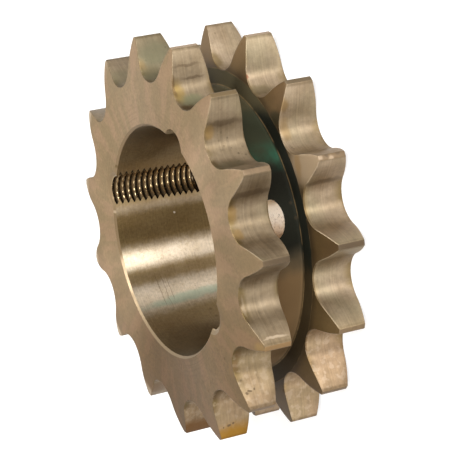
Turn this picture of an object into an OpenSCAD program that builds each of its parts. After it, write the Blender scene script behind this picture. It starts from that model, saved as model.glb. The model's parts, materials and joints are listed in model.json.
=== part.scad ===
/* [Chain] */
// chain pitch, 3/4 in roller chain
pitch = 19.05; // [19.05:0.05:19.05]
// roller diameter
roller_d = 12.07; // [11.9:0.01:12.2]
// teeth in each row
teeth = 15; // [13:1:19]
// distance between the middles of the two rows
row_pitch = 19.46; // [19.3:0.02:19.6]

/* [Teeth] */
// width of one toothed row at its root
row_w = 10.3; // [9.8:0.1:10.9]
// diameter over the tips
tip_d = 100.1; // [97:0.1:103]
// radius where the sides of the teeth start to curve in
relief_r = 39.75; // [39:0.05:42]
// how far the sides curve in at the tip
relief_w = 1.75; // [1:0.05:2.5]
// angle of the curved side to the flat one where it starts
relief_angle = 3; // [2:0.5:5]
// diameter of the groove floor between the rows
groove_d = 70.6; // [66:0.1:71]
// slope left in both corners of the groove floor
groove_corner = 0.6; // [0.3:0.1:1]

/* [Bore] */
// bore diameter at the front face
bore_d = 57.15; // [57:0.05:57.3]
// angle of the bore's wall to the axis
bore_taper = 4; // [4:0.5:4]
// chamfer at both ends of the bore
bore_chamfer = 0.5; // [0.3:0.1:1]

/* [Half holes] */
// radius of the screw holes shared with the bush
screw_r = 4.7625; // [4.5:0.0125:5]
// radius of the circle that the screw holes lie on
screw_circle_r = 26.99; // [26.5:0.01:27.5]
// angle of the middle hole, the plain one
screw_angle = 55.8; // [50:0.1:60]
// angle from the plain hole to each threaded one
screw_step = 95.7; // [94:0.1:97]
// depth of the threaded holes to the start of their cone
thread_depth = 24; // [20:0.5:26]
// depth of the plain hole to the start of its cone
plain_depth = 19; // [16:0.5:20]
// countersink around the threaded holes' mouths
screw_sink = 0.6; // [0.3:0.1:1]

/* [Window] */
// angle of the oval opening through the groove floor
window_angle = 4.6; // [0:0.1:12]
// height of the opening's middle
window_z = 16.5; // [16:0.1:16.8]
// length of the opening around the floor
window_len = 9.3; // [7:0.1:10]
// its width along the axis
window_w = 5.6; // [4:0.1:5.8]

/* [Hidden] */
$fn = 96;
total_w = row_pitch + row_w;
tip_r = tip_d / 2;
pitch_r = pitch / 2 / sin(180 / teeth);
seat_r = 0.505 * roller_d + 0.034 * pow(roller_d, 1 / 3);
seat_half = (130 - 90 / teeth) / 2;
flank_r = 0.5 * (0.12 * roller_d * (teeth + 2) + 0.008 * roller_d * (teeth * teeth + 180));
flank_x = sin(seat_half) * (seat_r + flank_r);
flank_y = pitch_r - cos(seat_half) * (seat_r + flank_r);
seat_end_x = sin(seat_half) * seat_r;
seat_end_y = pitch_r - cos(seat_half) * seat_r;
seat_end_r = sqrt(seat_end_x * seat_end_x + seat_end_y * seat_end_y);
relief_h = tip_r - relief_r;
relief_arc = (relief_h * relief_h + relief_w * relief_w)
             / (2 * (relief_w * cos(relief_angle) - relief_h * sin(relief_angle)));
relief_x = relief_r - relief_arc * sin(relief_angle);
relief_drop = -relief_arc * cos(relief_angle);
bore_r = bore_d / 2;
bore_small_r = bore_r - total_w * tan(bore_taper);
window_from = bore_small_r - screw_r;
window_depth = groove_d / 2 + 2 * groove_corner - window_from;
step = 360 / teeth;
eps = 0.01;

// one tooth, pointing along +Y, from the flank circles of its two gullets
module tooth_2d() {
    intersection() {
        circle(r = tip_r, $fn = 360);
        rotate(step / 2)
            translate([flank_x, flank_y])
                circle(r = flank_r);
        rotate(-step / 2)
            translate([-flank_x, flank_y])
                circle(r = flank_r);
        translate([-pitch * 0.45, pitch_r - roller_d])
            square([pitch * 0.9, 2 * roller_d]);
    }
}

// the outline of a toothed row
module row_2d() {
    difference() {
        union() {
            circle(r = seat_end_r, $fn = 180);
            for (i = [0 : teeth - 1])
                rotate(i * step)
                    tooth_2d();
        }
        for (i = [0 : teeth - 1])
            rotate((i + 0.5) * step)
                translate([0, pitch_r])
                    circle(r = seat_r);
    }
}

// what the side relief takes off above the arc, as a half section over the row's lower face
module relief_section() {
    difference() {
        translate([relief_r - 3, row_w - 4])
            square([tip_r - relief_r + 6, 6]);
        translate([relief_x, row_w + relief_drop])
            circle(r = relief_arc);
    }
}

module row() {
    difference() {
        linear_extrude(height = row_w)
            row_2d();
        rotate_extrude()
            relief_section();
        translate([0, 0, row_w])
            mirror([0, 0, 1])
                rotate_extrude()
                    relief_section();
    }
}

// the wall between the rows, with sloped corners at both ends of its floor
module core() {
    r = groove_d / 2;
    rotate_extrude()
        polygon([[10, 1], [r + groove_corner + 1, 1], [r + groove_corner + 1, row_w - 1],
                 [r, row_w + groove_corner], [r, row_pitch - groove_corner],
                 [r + groove_corner + 1, row_pitch + 1],
                 [r + groove_corner + 1, total_w - 1], [10, total_w - 1]]);
}

module bore() {
    translate([0, 0, -eps])
        cylinder(r1 = bore_small_r - eps * tan(bore_taper), r2 = bore_r + eps * tan(bore_taper),
                 h = total_w + 2 * eps, $fn = 180);
    translate([0, 0, total_w - bore_chamfer])
        cylinder(r1 = bore_r - bore_chamfer * tan(bore_taper), r2 = bore_r + bore_chamfer + 0.1,
                 h = bore_chamfer + 0.1, $fn = 180);
    translate([0, 0, -0.1])
        cylinder(r1 = bore_small_r + bore_chamfer + 0.1, r2 = bore_small_r + bore_chamfer * tan(bore_taper),
                 h = bore_chamfer + 0.1, $fn = 180);
}

// a screw hole from the front face, with a drilled cone at its end
module screw_hole(angle, depth, sink) {
    rotate(angle)
        translate([screw_circle_r, 0, total_w - depth]) {
            cylinder(r = screw_r, h = depth + 1);
            translate([0, 0, -screw_r * 0.6])
                cylinder(r1 = 0.05, r2 = screw_r, h = screw_r * 0.6);
            if (sink > 0)
                translate([0, 0, depth - sink])
                    cylinder(r1 = screw_r, r2 = screw_r + sink + 0.5, h = sink + 0.5);
        }
}

// the oval opening from the groove floor into the bore
module window() {
    rotate(window_angle)
        translate([window_from, 0, window_z])
            rotate([0, 90, 0])
                scale([window_w / 2, window_len / 2, 1])
                    cylinder(r = 1, h = window_depth);
}

module sprocket() {
    color([0.62, 0.56, 0.47])
        difference() {
            union() {
                row();
                translate([0, 0, row_pitch])
                    row();
                core();
            }
            bore();
            screw_hole(screw_angle, plain_depth, 0);
            screw_hole(screw_angle + screw_step, thread_depth, screw_sink);
            screw_hole(screw_angle - screw_step, thread_depth, screw_sink);
            window();
        }
}

sprocket();
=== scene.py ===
"""A duplex chain sprocket in bare machined steel, on a pale floor."""

from __future__ import annotations

import json
import logging
import math
from dataclasses import dataclass, field
from enum import IntEnum
from typing import Callable, Sequence

import bmesh
import bpy
from mathutils import Matrix, Vector

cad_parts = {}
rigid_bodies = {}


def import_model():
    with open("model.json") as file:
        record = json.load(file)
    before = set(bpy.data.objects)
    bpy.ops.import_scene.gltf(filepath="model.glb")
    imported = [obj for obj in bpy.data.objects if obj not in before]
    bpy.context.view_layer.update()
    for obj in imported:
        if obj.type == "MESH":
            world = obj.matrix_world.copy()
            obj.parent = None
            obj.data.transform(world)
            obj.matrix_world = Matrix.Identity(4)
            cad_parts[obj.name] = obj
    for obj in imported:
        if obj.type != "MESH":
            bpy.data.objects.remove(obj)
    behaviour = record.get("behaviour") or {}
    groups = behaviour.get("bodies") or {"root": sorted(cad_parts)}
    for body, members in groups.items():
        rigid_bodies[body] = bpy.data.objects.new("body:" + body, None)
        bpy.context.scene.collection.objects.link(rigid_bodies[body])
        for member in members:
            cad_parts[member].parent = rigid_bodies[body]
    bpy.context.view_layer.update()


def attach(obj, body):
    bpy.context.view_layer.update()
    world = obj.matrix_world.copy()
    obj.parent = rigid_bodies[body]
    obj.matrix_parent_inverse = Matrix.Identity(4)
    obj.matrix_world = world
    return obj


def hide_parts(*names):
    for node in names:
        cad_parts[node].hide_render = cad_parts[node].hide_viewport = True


LOG = logging.getLogger("sprocket")
MM = 0.001
ROW_W = 10.3
ROW_PITCH = 19.46
TOP_Z = ROW_PITCH + ROW_W
MIDDLE_Z = TOP_Z / 2
SCREW_CIRCLE_R = 26.99
PLAIN_ANGLE = 55.8
THREADED_ANGLES = (151.5, -39.9)
FILLET_TOP_R = 35.75
SIDE_EDGE_R = 39.7
WORN_TIP_ANGLE = 18.0
SHAKE = 1.6
SHAKE_SCALE = 450.0
FINE_SCALE = 2600.0
BUMP_DEPTH = 0.0001
PATCH_RIM = (1.25, 0.45)

Point = tuple[float, float, float]
Colour = tuple[float, float, float]


class Zone(IntEnum):
    """Parts of the body's skin that were cut in different ways, in the order of its materials."""

    FACE = 0
    FLANK = 1
    BORE = 2
    THREAD = 3
    GROOVE = 4
    WINDOW = 5
    INNER = 6
    LAND = 7
    CHAMFER = 8


class Wire:
    """One output socket, or a number, that can be used in Python arithmetic."""

    def __init__(self, graph: "Graph", socket: bpy.types.NodeSocket) -> None:
        """Keep the socket and the graph that new Math nodes go into."""
        self.graph = graph
        self.socket = socket

    def _math(self, operation: str, *values: "Wire | float") -> "Wire":
        """Add a Math node of one operation on these values."""
        return self.graph.node("ShaderNodeMath", {"operation": operation}, list(values))

    def __add__(self, other: "Wire | float") -> "Wire":
        """Sum."""
        return self._math("ADD", self, other)

    def __mul__(self, other: "Wire | float") -> "Wire":
        """Product."""
        return self._math("MULTIPLY", self, other)

    def __sub__(self, other: "Wire | float") -> "Wire":
        """Difference."""
        return self._math("SUBTRACT", self, other)

    def arctan2(self, x: "Wire") -> "Wire":
        """Angle of the direction that has this as its y, in radians."""
        return self._math("ARCTAN2", self, x)

    def least(self, other: "Wire") -> "Wire":
        """The smaller of two."""
        return self._math("MINIMUM", self, other)

    def __pow__(self, other: "Wire | float") -> "Wire":
        """Power."""
        return self._math("POWER", self, other)

    def __abs__(self) -> "Wire":
        """Size without sign."""
        return self._math("ABSOLUTE", self)

    def clamp(self) -> "Wire":
        """Limit to the span from 0 to 1."""
        return self.graph.node("ShaderNodeMath", {"operation": "ADD", "use_clamp": True}, [self, 0.0])

    def step(self, low: float, high: float) -> "Wire":
        """Smooth rise from 0 at low to 1 at high, or a fall where high is below low."""
        ease = {"interpolation_type": "SMOOTHSTEP"}
        return self.graph.node("ShaderNodeMapRange", ease, [self, low, high, 0.0, 1.0])


class Graph:
    """A material's or the world's nodes."""

    def __init__(self, tree: bpy.types.NodeTree) -> None:
        """Empty the tree.

        Args:
            tree: the node tree to fill.
        """
        self.tree = tree
        tree.nodes.clear()
        self._place: Wire | None = None
        self._ragged: Wire | None = None

    def node(
        self,
        kind: str,
        settings: dict[str, object] | None = None,
        values: Sequence[object] | dict[int | str, object] | None = None,
        out: int | str = 0,
    ) -> Wire | None:
        """Add one node.

        Args:
            kind: the node's type name.
            settings: properties to set before its sockets.
            values: socket values or wires, in order, or by socket name or number.
            out: which output to hand back.

        Returns:
            The chosen output, or None for a node without outputs.
        """
        made = self.tree.nodes.new(kind)
        for key, value in (settings or {}).items():
            setattr(made, key, value)
        pairs = values.items() if isinstance(values, dict) else enumerate(values or [])
        for key, value in pairs:
            self._feed(made.inputs[key], value)
        return Wire(self, made.outputs[out]) if len(made.outputs) else None

    def _feed(self, socket: bpy.types.NodeSocket, value: object) -> None:
        """Link a wire to a socket, or set the socket's own value.

        Args:
            socket: the input.
            value: a wire, a number, a vector, or a colour without alpha.
        """
        if isinstance(value, Wire):
            self.tree.links.new(value.socket, socket)
        elif isinstance(value, tuple) and socket.type == "RGBA":
            socket.default_value = (*value, 1.0)
        else:
            socket.default_value = value

    def vector(self, operation: str, *values: object, out: int | str = 0) -> Wire:
        """Add a Vector Math node of one operation on these values."""
        return self.node("ShaderNodeVectorMath", {"operation": operation}, list(values), out)

    def in_view(self) -> Wire:
        """Tell what is seen from light that only reaches a surface.

        Returns:
            1 for what the camera sees, straight, in a reflection or through glass, and 0 otherwise.
        """
        path = self.node("ShaderNodeLightPath").socket.node.outputs
        camera = Wire(self, path["Is Camera Ray"])
        glossy = Wire(self, path["Is Glossy Ray"])
        through = Wire(self, path["Is Transmission Ray"])
        return (camera + glossy + through).clamp()

    def place(self) -> Wire:
        """Make the object coordinates, once for the whole tree.

        Returns:
            The coordinates, in metres.
        """
        if self._place is None:
            self._place = self.node("ShaderNodeTexCoord", out="Object")
        return self._place

    def scaled(self, x: float, y: float, z: float) -> Wire:
        """Object coordinates multiplied axis by axis."""
        return self.vector("MULTIPLY", self.place(), (x, y, z))

    def millimetres(self) -> Wire:
        """Object coordinates, in millimetres."""
        return self.scaled(1 / MM, 1 / MM, 1 / MM)

    def axes(self) -> tuple[Wire, Wire, Wire]:
        """x, y and z of the object coordinates as numbers, in millimetres."""
        split = self.node("ShaderNodeSeparateXYZ", None, [self.millimetres()])
        return tuple(Wire(self, socket) for socket in split.socket.node.outputs)

    def distance(self, x0: float, y0: float) -> Wire:
        """Measure from an upright line.

        Args:
            x0: the line's x.
            y0: the line's y.

        Returns:
            The distance, in millimetres.
        """
        x, y, _ = self.axes()
        x, y = x - x0, y - y0
        return (x * x + y * y) ** 0.5

    def radius(self) -> Wire:
        """Distance from the sprocket's axis, in millimetres."""
        return self.distance(0.0, 0.0)

    def ragged(self) -> Wire:
        """Shake the object coordinates by noise, so that patches get uneven rims.

        Returns:
            The shaken coordinates in millimetres, made once for the whole tree.
        """
        if self._ragged is None:
            at = self.scaled(SHAKE_SCALE, SHAKE_SCALE, SHAKE_SCALE)
            noise = {"Vector": at, "Scale": 1.0, "Detail": 3.0}
            shake = self.node("ShaderNodeTexNoise", None, noise, "Color")
            centred = self.vector("MULTIPLY_ADD", shake, (SHAKE,) * 3, (-SHAKE / 2,) * 3)
            self._ragged = self.vector("ADD", self.millimetres(), centred)
        return self._ragged

    def noise(self, scale: float, detail: float = 3.0, spread: float = 1.0, rough: float = 0.5) -> Wire:
        """Clouds from 0 to 1, scale of them in a metre and spread times as many along the axis."""
        at = {"Vector": self.scaled(scale, scale, scale * spread), "Scale": 1.0}
        return self.node("ShaderNodeTexNoise", None, {**at, "Detail": detail, "Roughness": rough})

    def patchy(self, scale: float, low: float, high: float, detail: float = 3.0) -> Wire:
        """Cloudy patches with soft rims, 0 where the noise is below low and 1 above high."""
        return self.noise(scale, detail).step(low, high)

    def lines(self, along: Wire, detail: float, rough: float = 0.5) -> Wire:
        """Lines from 0 to 1 across the direction that the number along grows in."""
        values = {"W": along, "Scale": 1.0, "Detail": detail, "Roughness": rough}
        return self.node("ShaderNodeTexNoise", {"noise_dimensions": "1D"}, values)

    def mix(
        self, share: Wire | float, first: Wire | Colour, second: Wire | Colour, blend: str = "MIX"
    ) -> Wire:
        """The first colour where share is 0, blended with the second where it is 1."""
        settings = {"data_type": "RGBA", "blend_type": blend}
        return self.node("ShaderNodeMix", settings, {0: share, 6: first, 7: second}, 2)


class Coat:
    """A material's colour while film, stains, marks and painted light and shade are laid over it."""

    def __init__(self, g: Graph, colour: Wire) -> None:
        """Start with one colour in a material's graph."""
        self.g = g
        self.colour = colour

    def lay(self, share: Wire | float, colour: Wire | Colour, blend: str = "MIX") -> None:
        """Lay another colour over it, wholly where share is 1."""
        self.colour = self.g.mix(share, self.colour, colour, blend)

    def scale(self, share: Wire | float, factor: Colour) -> None:
        """Multiply it by a factor where share is 1."""
        self.lay(share, factor, "MULTIPLY")


@dataclass(frozen=True)
class Stain:
    """A patch of film, grime or wear on the steel, or of painted light or shade, in millimetres."""

    place: Point
    size: Point
    colour: Colour
    share: float = 0.6

    def cover(self, coat: Coat) -> None:
        """Lay the patch over a colour.

        Args:
            coat: what lies under the patch.
        """
        squeeze = tuple(1.0 / c for c in self.size)
        offset = tuple(-p / c for p, c in zip(self.place, self.size))
        near = coat.g.vector("MULTIPLY_ADD", coat.g.ragged(), squeeze, offset)
        far = coat.g.vector("LENGTH", near, out="Value")
        coat.lay(far.step(*PATCH_RIM) * self.share, self.colour)


GOLD = (0.37, 0.25, 0.095)
OLIVE = (0.20, 0.20, 0.13)
BROWN = (0.14, 0.10, 0.06)
RUST = (0.25, 0.165, 0.085)
PALE = (0.82, 0.72, 0.58)
WHITE = (1.0, 1.0, 1.0)
BLACK = (0.0, 0.0, 0.0)
SPECK = (0.10, 0.065, 0.035)
DRIED_OIL = (0.34, 0.25, 0.10)
EDGE_BROWN = (0.20, 0.135, 0.055)
FRINGE = (0.30, 0.225, 0.09)
TORN_STEEL = (0.72, 0.61, 0.49)
OLIVE_RAY = (0.31, 0.25, 0.15)
ROSE_RAY = (0.47, 0.33, 0.23)
# Painted highlight colour for the tips' curved sides on the front face.
TIP_SIDE_HIGHLIGHT = (0.90, 0.81, 0.69)
# Painted light colour for the uppermost part of the rows' inner sides.
TOP_SIDE_LIGHT = (0.36, 0.275, 0.17)
# Painted light colours for the low part of the groove's floor and sides.
LOW_FLOOR_LIGHT = (0.20, 0.145, 0.085)
LOW_SIDE_LIGHT = (0.13, 0.088, 0.045)
OILY_FLOOR = (0.075, 0.078, 0.045)
# Painted light colour for the top of the groove.
TOP_RING_LIGHT = (0.13, 0.098, 0.048)
GREEN_OIL = (0.03, 0.115, 0.085)
# Painted highlight colour for the groove's corners.
CORNER_HIGHLIGHT = (0.25, 0.185, 0.10)
# Painted shade colour for the lower part of the opening's wall.
OPENING_SHADE = (0.60, 0.43, 0.27)
OPENING_SPECK = (0.30, 0.16, 0.09)
CHAMFER_LOW = (0.27, 0.215, 0.15)
CHAMFER_SIDE = (0.18, 0.135, 0.085)
CHAMFER_HIGH = (0.27, 0.205, 0.135)
# Painted reflection factors for the bore's dark bands.
DARK_REFLECTION_BAND = (0.40, 0.32, 0.18)
DIM_REFLECTION_BAND = (0.60, 0.51, 0.35)
OIL_SPECK = (0.28, 0.205, 0.085)
# Painted shade colours for the thread's roots.
ROOT_SHADE = (0.20, 0.14, 0.075)
DEEP_ROOT_SHADE = (0.045, 0.033, 0.02)

# Stains on the flanks; three entries below are painted shade or a painted highlight instead.
FLANK_STAINS_AND_SHADING = (
    Stain((3.0, 45.5, 24.5), (3.5, 4.0, 5.0), (0.23, 0.24, 0.16), 0.7),
    Stain((3.4, 42.9, 28.9), (1.8, 2.0, 1.2), (0.36, 0.27, 0.13), 0.55),
    Stain((6.1, 39.8, 26.5), (2.5, 1.5, 4.0), OLIVE, 0.6),
    Stain((-14.0, 40.5, 27.0), (3.5, 3.5, 4.0), OLIVE, 0.5),
    Stain((21.0, 41.4, 25.2), (1.2, 0.40, 4.0), BROWN, 0.55),
    Stain((21.0, 38.2, 24.0), (1.2, 0.45, 3.5), BROWN, 0.6),
    Stain((21.2, 34.9, 28.3), (2.2, 3.4, 1.7), (0.37, 0.27, 0.09), 0.75),
    Stain((22.6, 32.6, 25.6), (2.4, 2.6, 3.6), (0.22, 0.25, 0.15), 0.7),
    Stain((24.2, 31.3, 28.0), (2.2, 0.9, 2.2), (0.13, 0.085, 0.035), 0.8),
    Stain((20.7, 36.5, 29.3), (1.2, 3.4, 0.5), (0.17, 0.11, 0.05), 0.7),
    Stain((4.6, 41.0, 9.6), (3.0, 2.8, 1.8), (0.24, 0.175, 0.07), 0.75),
    Stain((22.8, 32.4, 8.4), (3.0, 1.7, 4.0), (0.22, 0.18, 0.09), 0.65),
    Stain((5.0, 40.8, 26.8), (2.6, 1.9, 4.0), (0.17, 0.16, 0.09), 0.55),
    Stain((20.8, 36.1, 9.9), (0.7, 0.7, 0.5), (0.25, 0.08, 0.04), 0.7),
    Stain((34.0, 25.4, 28.3), (1.6, 2.4, 1.3), GOLD, 0.7),
    Stain((34.9, 27.0, 24.3), (1.8, 0.9, 6.0), BROWN, 0.6),
    Stain((37.3, 17.2, 26.0), (2.6, 1.3, 4.5), OLIVE, 0.5),
    Stain((39.7, 6.4, 28.7), (1.5, 2.4, 1.3), GOLD, 0.7),
    Stain((40.4, 1.4, 28.5), (1.5, 2.0, 1.3), GOLD, 0.7),
    # Painted shade: a dark line in the crease where the flank meets the gullet's arc.
    Stain((42.8, 10.4, 24.8), (1.6, 1.0, 6.0), BROWN, 0.55),
    Stain((41.6, -1.6, 24.5), (1.8, 1.2, 5.0), OLIVE, 0.5),
    Stain((35.7, 28.4, 9.3), (1.6, 2.4, 1.2), GOLD, 0.7),
    Stain((33.8, 22.5, 8.8), (1.5, 3.2, 1.5), GOLD, 0.55),
    # Painted shade: a dark line where this rear-row flank meets the gullet's arc.
    Stain((41.8, 9.7, 6.0), (1.3, 0.8, 6.0), BROWN, 0.5),
    # Painted highlight: a faint pale patch where the gullet catches light.
    Stain((37.6, -15.5, 22.4), (1.5, 2.4, 3.0), PALE, 0.12),
    Stain((39.2, -18.5, 20.8), (1.6, 1.8, 1.8), BROWN, 0.3),
    Stain((37.6, -15.9, 28.8), (1.2, 3.2, 0.45), PALE, 0.2),
    Stain((42.7, -22.9, 24.6), (0.6, 0.35, 3.2), PALE, 0.7),
    Stain((29.4, -26.8, 28.6), (1.6, 1.8, 1.1), RUST, 0.6),
    Stain((28.0, -29.5, 29.0), (1.1, 1.7, 0.9), RUST, 0.6),
    Stain((11.2, -49.4, 23.5), (4.2, 4.3, 12.0), (0.36, 0.195, 0.02), 0.97),
    Stain((-8.9, -49.0, 26.0), (3.8, 4.0, 12.0), (0.22, 0.11, 0.03), 0.92),
    Stain((-24.4, -38.4, 27.4), (3.6, 3.4, 3.4), (0.26, 0.175, 0.095), 0.8),
    Stain((11.9, -45.7, 26.0), (0.6, 0.35, 0.4), BROWN, 0.9),
    Stain((12.0, -45.6, 24.9), (0.6, 0.3, 0.4), BROWN, 0.9),
    Stain((11.9, -45.9, 27.4), (0.6, 0.35, 0.3), BROWN, 0.9),
    Stain((28.5, -33.2, 28.3), (0.4, 0.45, 0.4), BROWN, 0.9),
    Stain((29.1, -35.6, 26.0), (0.35, 0.4, 0.35), BROWN, 0.9),
    Stain((29.3, -36.2, 27.6), (0.35, 0.4, 0.5), BROWN, 0.9),
    Stain((29.2, -35.8, 27.0), (0.3, 0.3, 0.4), BROWN, 0.9),
)
FACE_STAINS = (
    Stain((41.8, -24.6, 28.9), (2.2, 1.5, 1.6), GOLD, 0.45),
    Stain((29.0, -26.0, 29.7), (1.0, 2.6, 0.5), RUST, 0.5),
    Stain((26.6, -30.5, 29.7), (1.0, 2.4, 0.5), RUST, 0.5),
)
INNER_STAINS_AND_LIGHT = (
    # Painted light: a pale pool where light comes through the gap between the front row's teeth onto the
    # rear row's inner side.
    Stain((43.4, 14.0, 10.0), (8.5, 5.4, 3.6), (0.31, 0.27, 0.235), 0.95),
    Stain((39.4, 14.4, 10.2), (1.4, 3.5, 2.5), (0.24, 0.17, 0.09), 0.7),
    Stain((32.4, 25.7, 10.2), (3.0, 2.0, 2.0), (0.04, 0.04, 0.022), 0.8),
)
LAND_STAINS_AND_SHADING = (
    Stain((47.3, 15.6, 8.2), (0.8, 0.8, 0.8), (0.62, 0.52, 0.40), 0.6),
    Stain((47.4, 15.2, 5.4), (0.8, 0.7, 0.8), (0.62, 0.52, 0.40), 0.7),
    Stain((47.2, 15.9, 6.6), (0.6, 0.5, 0.5), BROWN, 0.7),
    Stain((47.1, 15.9, 3.6), (0.7, 0.6, 0.7), BROWN, 0.7),
    Stain((46.6, 16.2, 2.0), (0.6, 0.6, 0.5), (0.30, 0.24, 0.17), 0.7),
    Stain((10.4, -48.9, 25.0), (8.0, 4.0, 9.0), (0.46, 0.28, 0.07), 0.9),
    Stain((-10.4, -48.9, 27.5), (6.0, 4.0, 3.0), (0.40, 0.26, 0.09), 0.7),
    Stain((43.3, -25.0, 25.4), (4.0, 4.0, 8.0), (0.36, 0.23, 0.09), 0.7),
    # Painted light and shade: this patch and the next three darken three tips and lighten one, by how each
    # tip faces the light.
    Stain((49.8, -5.2, 15.0), (4.0, 4.0, 20.0), (0.105, 0.075, 0.04), 0.9),
    Stain((37.2, 33.5, 24.5), (4.0, 4.0, 8.0), (0.20, 0.15, 0.07), 0.8),
    Stain((20.3, 45.7, 15.0), (4.0, 4.0, 20.0), (0.52, 0.43, 0.33), 0.8),
    Stain((37.4, 33.2, 5.0), (4.0, 4.0, 7.0), (0.175, 0.14, 0.085), 0.75),
)
BORE_STAINS = (
    Stain((-21.9, -16.8, 15.0), (1.3, 1.9, 18.0), (0.27, 0.36, 0.27), 0.6),
    Stain((-24.1, -14.2, 22.3), (5.0, 6.0, 0.16), BROWN, 0.5),
    Stain((-24.1, -14.2, 20.9), (5.0, 7.0, 0.13), BROWN, 0.5),
    Stain((-24.1, -14.2, 19.7), (4.0, 5.0, 0.16), BROWN, 0.4),
    Stain((-27.1, 4.6, 13.6), (0.5, 0.35, 0.35), PALE, 0.9),
)


@dataclass(frozen=True)
class SteelFinish:
    """How one zone of the steel looks: its colours, gloss and tool marks."""

    name: str
    base: Colour
    dark: Colour
    tint: Colour
    metallic: float = 0.75
    roughness: float = 0.4
    rough_vary: float = 0.08
    mottle_scale: float = 160.0
    streak_share: float = 0.3
    streak_scale: float = 1400.0
    tint_share: float = 0.5
    bump: float = 0.15
    speck_share: float = 0.4
    speck_scale: float = 420.0
    brushed: float = 0.9
    grain: float = 0.15
    grain_scale: float = 900.0
    specular: float = 0.5
    tone: Colour = (0.6, 0.55, 0.5)
    # The stains and film of some zones also carry painted light and shade.
    stains: tuple[Stain, ...] = ()
    film: Callable[[Coat], None] | None = None

    def build(self) -> bpy.types.Material:
        """Make the material.

        Returns:
            A new node material.
        """
        material = bpy.data.materials.new(self.name)
        material.use_nodes = True
        g = Graph(material.node_tree)
        cloud = g.noise(self.mottle_scale, 4.0, 1.0, 0.6)
        fine = g.noise(FINE_SCALE, 2.0)
        streaks = self._streaks(g)
        specks = self._specks(g)
        mottle = (cloud - 0.5) * (2.0 * self.rough_vary)
        rough = streaks * 0.5 + mottle + specks * 0.3 + self.roughness
        height = streaks * 0.6 + fine * 0.25 - specks * 0.8
        bump = {"Strength": self.bump, "Distance": BUMP_DEPTH, "Height": height}
        shader = g.node("ShaderNodeBsdfPrincipled", None, {
            "Base Color": self._paint(g, cloud, fine, streaks, specks),
            "Metallic": self.metallic,
            "Roughness": rough.clamp(),
            "Anisotropic": self.brushed,
            "Anisotropic Rotation": 0.25,
            "Specular IOR Level": self.specular,
            "Normal": g.node("ShaderNodeBump", None, bump),
        })
        g.node("ShaderNodeOutputMaterial", None, {"Surface": shader})
        return material

    def _streaks(self, g: Graph) -> Wire:
        """Make the tool marks that run round the part, stronger in some places.

        Args:
            g: the material's graph.

        Returns:
            The marks, from below 0 to above 0.
        """
        _, _, z = g.axes()
        marks = g.lines(z * (self.streak_scale * MM), 5.0, 0.7) - 0.5
        strength = g.noise(self.mottle_scale * 1.7, 2.0, 0.4) * 2.0
        return marks * strength * self.streak_share

    def _specks(self, g: Graph) -> Wire:
        """Make small dark specks that gather in some places.

        Args:
            g: the material's graph.

        Returns:
            Their cover, from 0 to speck_share.
        """
        at = g.scaled(self.speck_scale, self.speck_scale, self.speck_scale)
        cells = g.node("ShaderNodeTexVoronoi", {"feature": "F1"}, {"Vector": at, "Scale": 1.0})
        gathered = g.patchy(self.speck_scale * 0.16, 0.60, 0.70, 2.0)
        return cells.step(0.26, 0.12) * gathered * self.speck_share

    def _paint(self, g: Graph, cloud: Wire, fine: Wire, streaks: Wire, specks: Wire) -> Wire:
        """Lay the colours, the marks, the film and the stains, with the painted light and shade that some
        of them carry, over each other.

        Args:
            g: the material's graph.
            cloud: broad pattern between the dark and the plain colour.
            fine: finest grain.
            streaks: tool marks.
            specks: cover of the dark specks.

        Returns:
            The finished colour.
        """
        coat = Coat(g, g.mix((cloud * 1.4 - 0.2).clamp(), self.dark, self.base))
        coat.lay(g.patchy(self.mottle_scale * 0.28, 0.45, 0.68, 2.0) * self.tint_share, self.tint)
        grain = (g.noise(self.grain_scale, 3.0) - 0.5) * self.grain
        grey = (streaks + 0.5 + (fine - 0.5) * 0.12 + grain).clamp()
        coat.lay(0.9, g.node("ShaderNodeCombineColor", None, [grey, grey, grey]), "OVERLAY")
        coat.lay(specks, SPECK)
        if self.film is not None:
            self.film(coat)
        for stain in self.stains:
            stain.cover(coat)
        coat.scale(1.0, self.tone)
        return coat.colour


def flank_film_and_shade(coat: Coat) -> None:
    """Film on the flanks: golden near the rows' edges, brown in them, the front row darker all over, and
    painted shade on the tips' corners.

    Args:
        coat: the bare flank's colour.
    """
    g = coat.g
    _, y, z = g.axes()
    radius = g.radius()
    off_middle = abs(z - MIDDLE_Z)
    off_row = abs(off_middle - ROW_PITCH / 2)
    gullet = radius.step(45.0, 41.5)
    coat.lay(off_row.step(3.4, 5.0) * g.patchy(90.0, 0.46, 0.66) * 0.55, DRIED_OIL)
    edges = (off_row.step(4.6, 4.95) + z.step(27.6, 29.3) * gullet).clamp()
    coat.lay(g.patchy(170.0, 0.38, 0.55) * edges * 0.75, EDGE_BROWN)
    coat.scale(y.step(-20.0, -27.0), (1.03, 0.94, 0.86))
    fringe = off_middle.step(12.0, 14.6) * gullet * g.patchy(240.0, 0.40, 0.58, 4.0)
    coat.lay(fringe * 0.75, FRINGE)
    galled = y.step(-22.0, -29.0) * g.patchy(620.0, 0.50, 0.62)
    coat.lay(galled * 0.4, TORN_STEEL)
    # Painted shade: the tips' corners are darkened so that they catch less light.
    coat.scale(radius.step(49.2, 49.7), (0.74, 0.72, 0.68))
    coat.scale(z.step(12.0, 18.0), (0.72, 0.72, 0.69))


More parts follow.
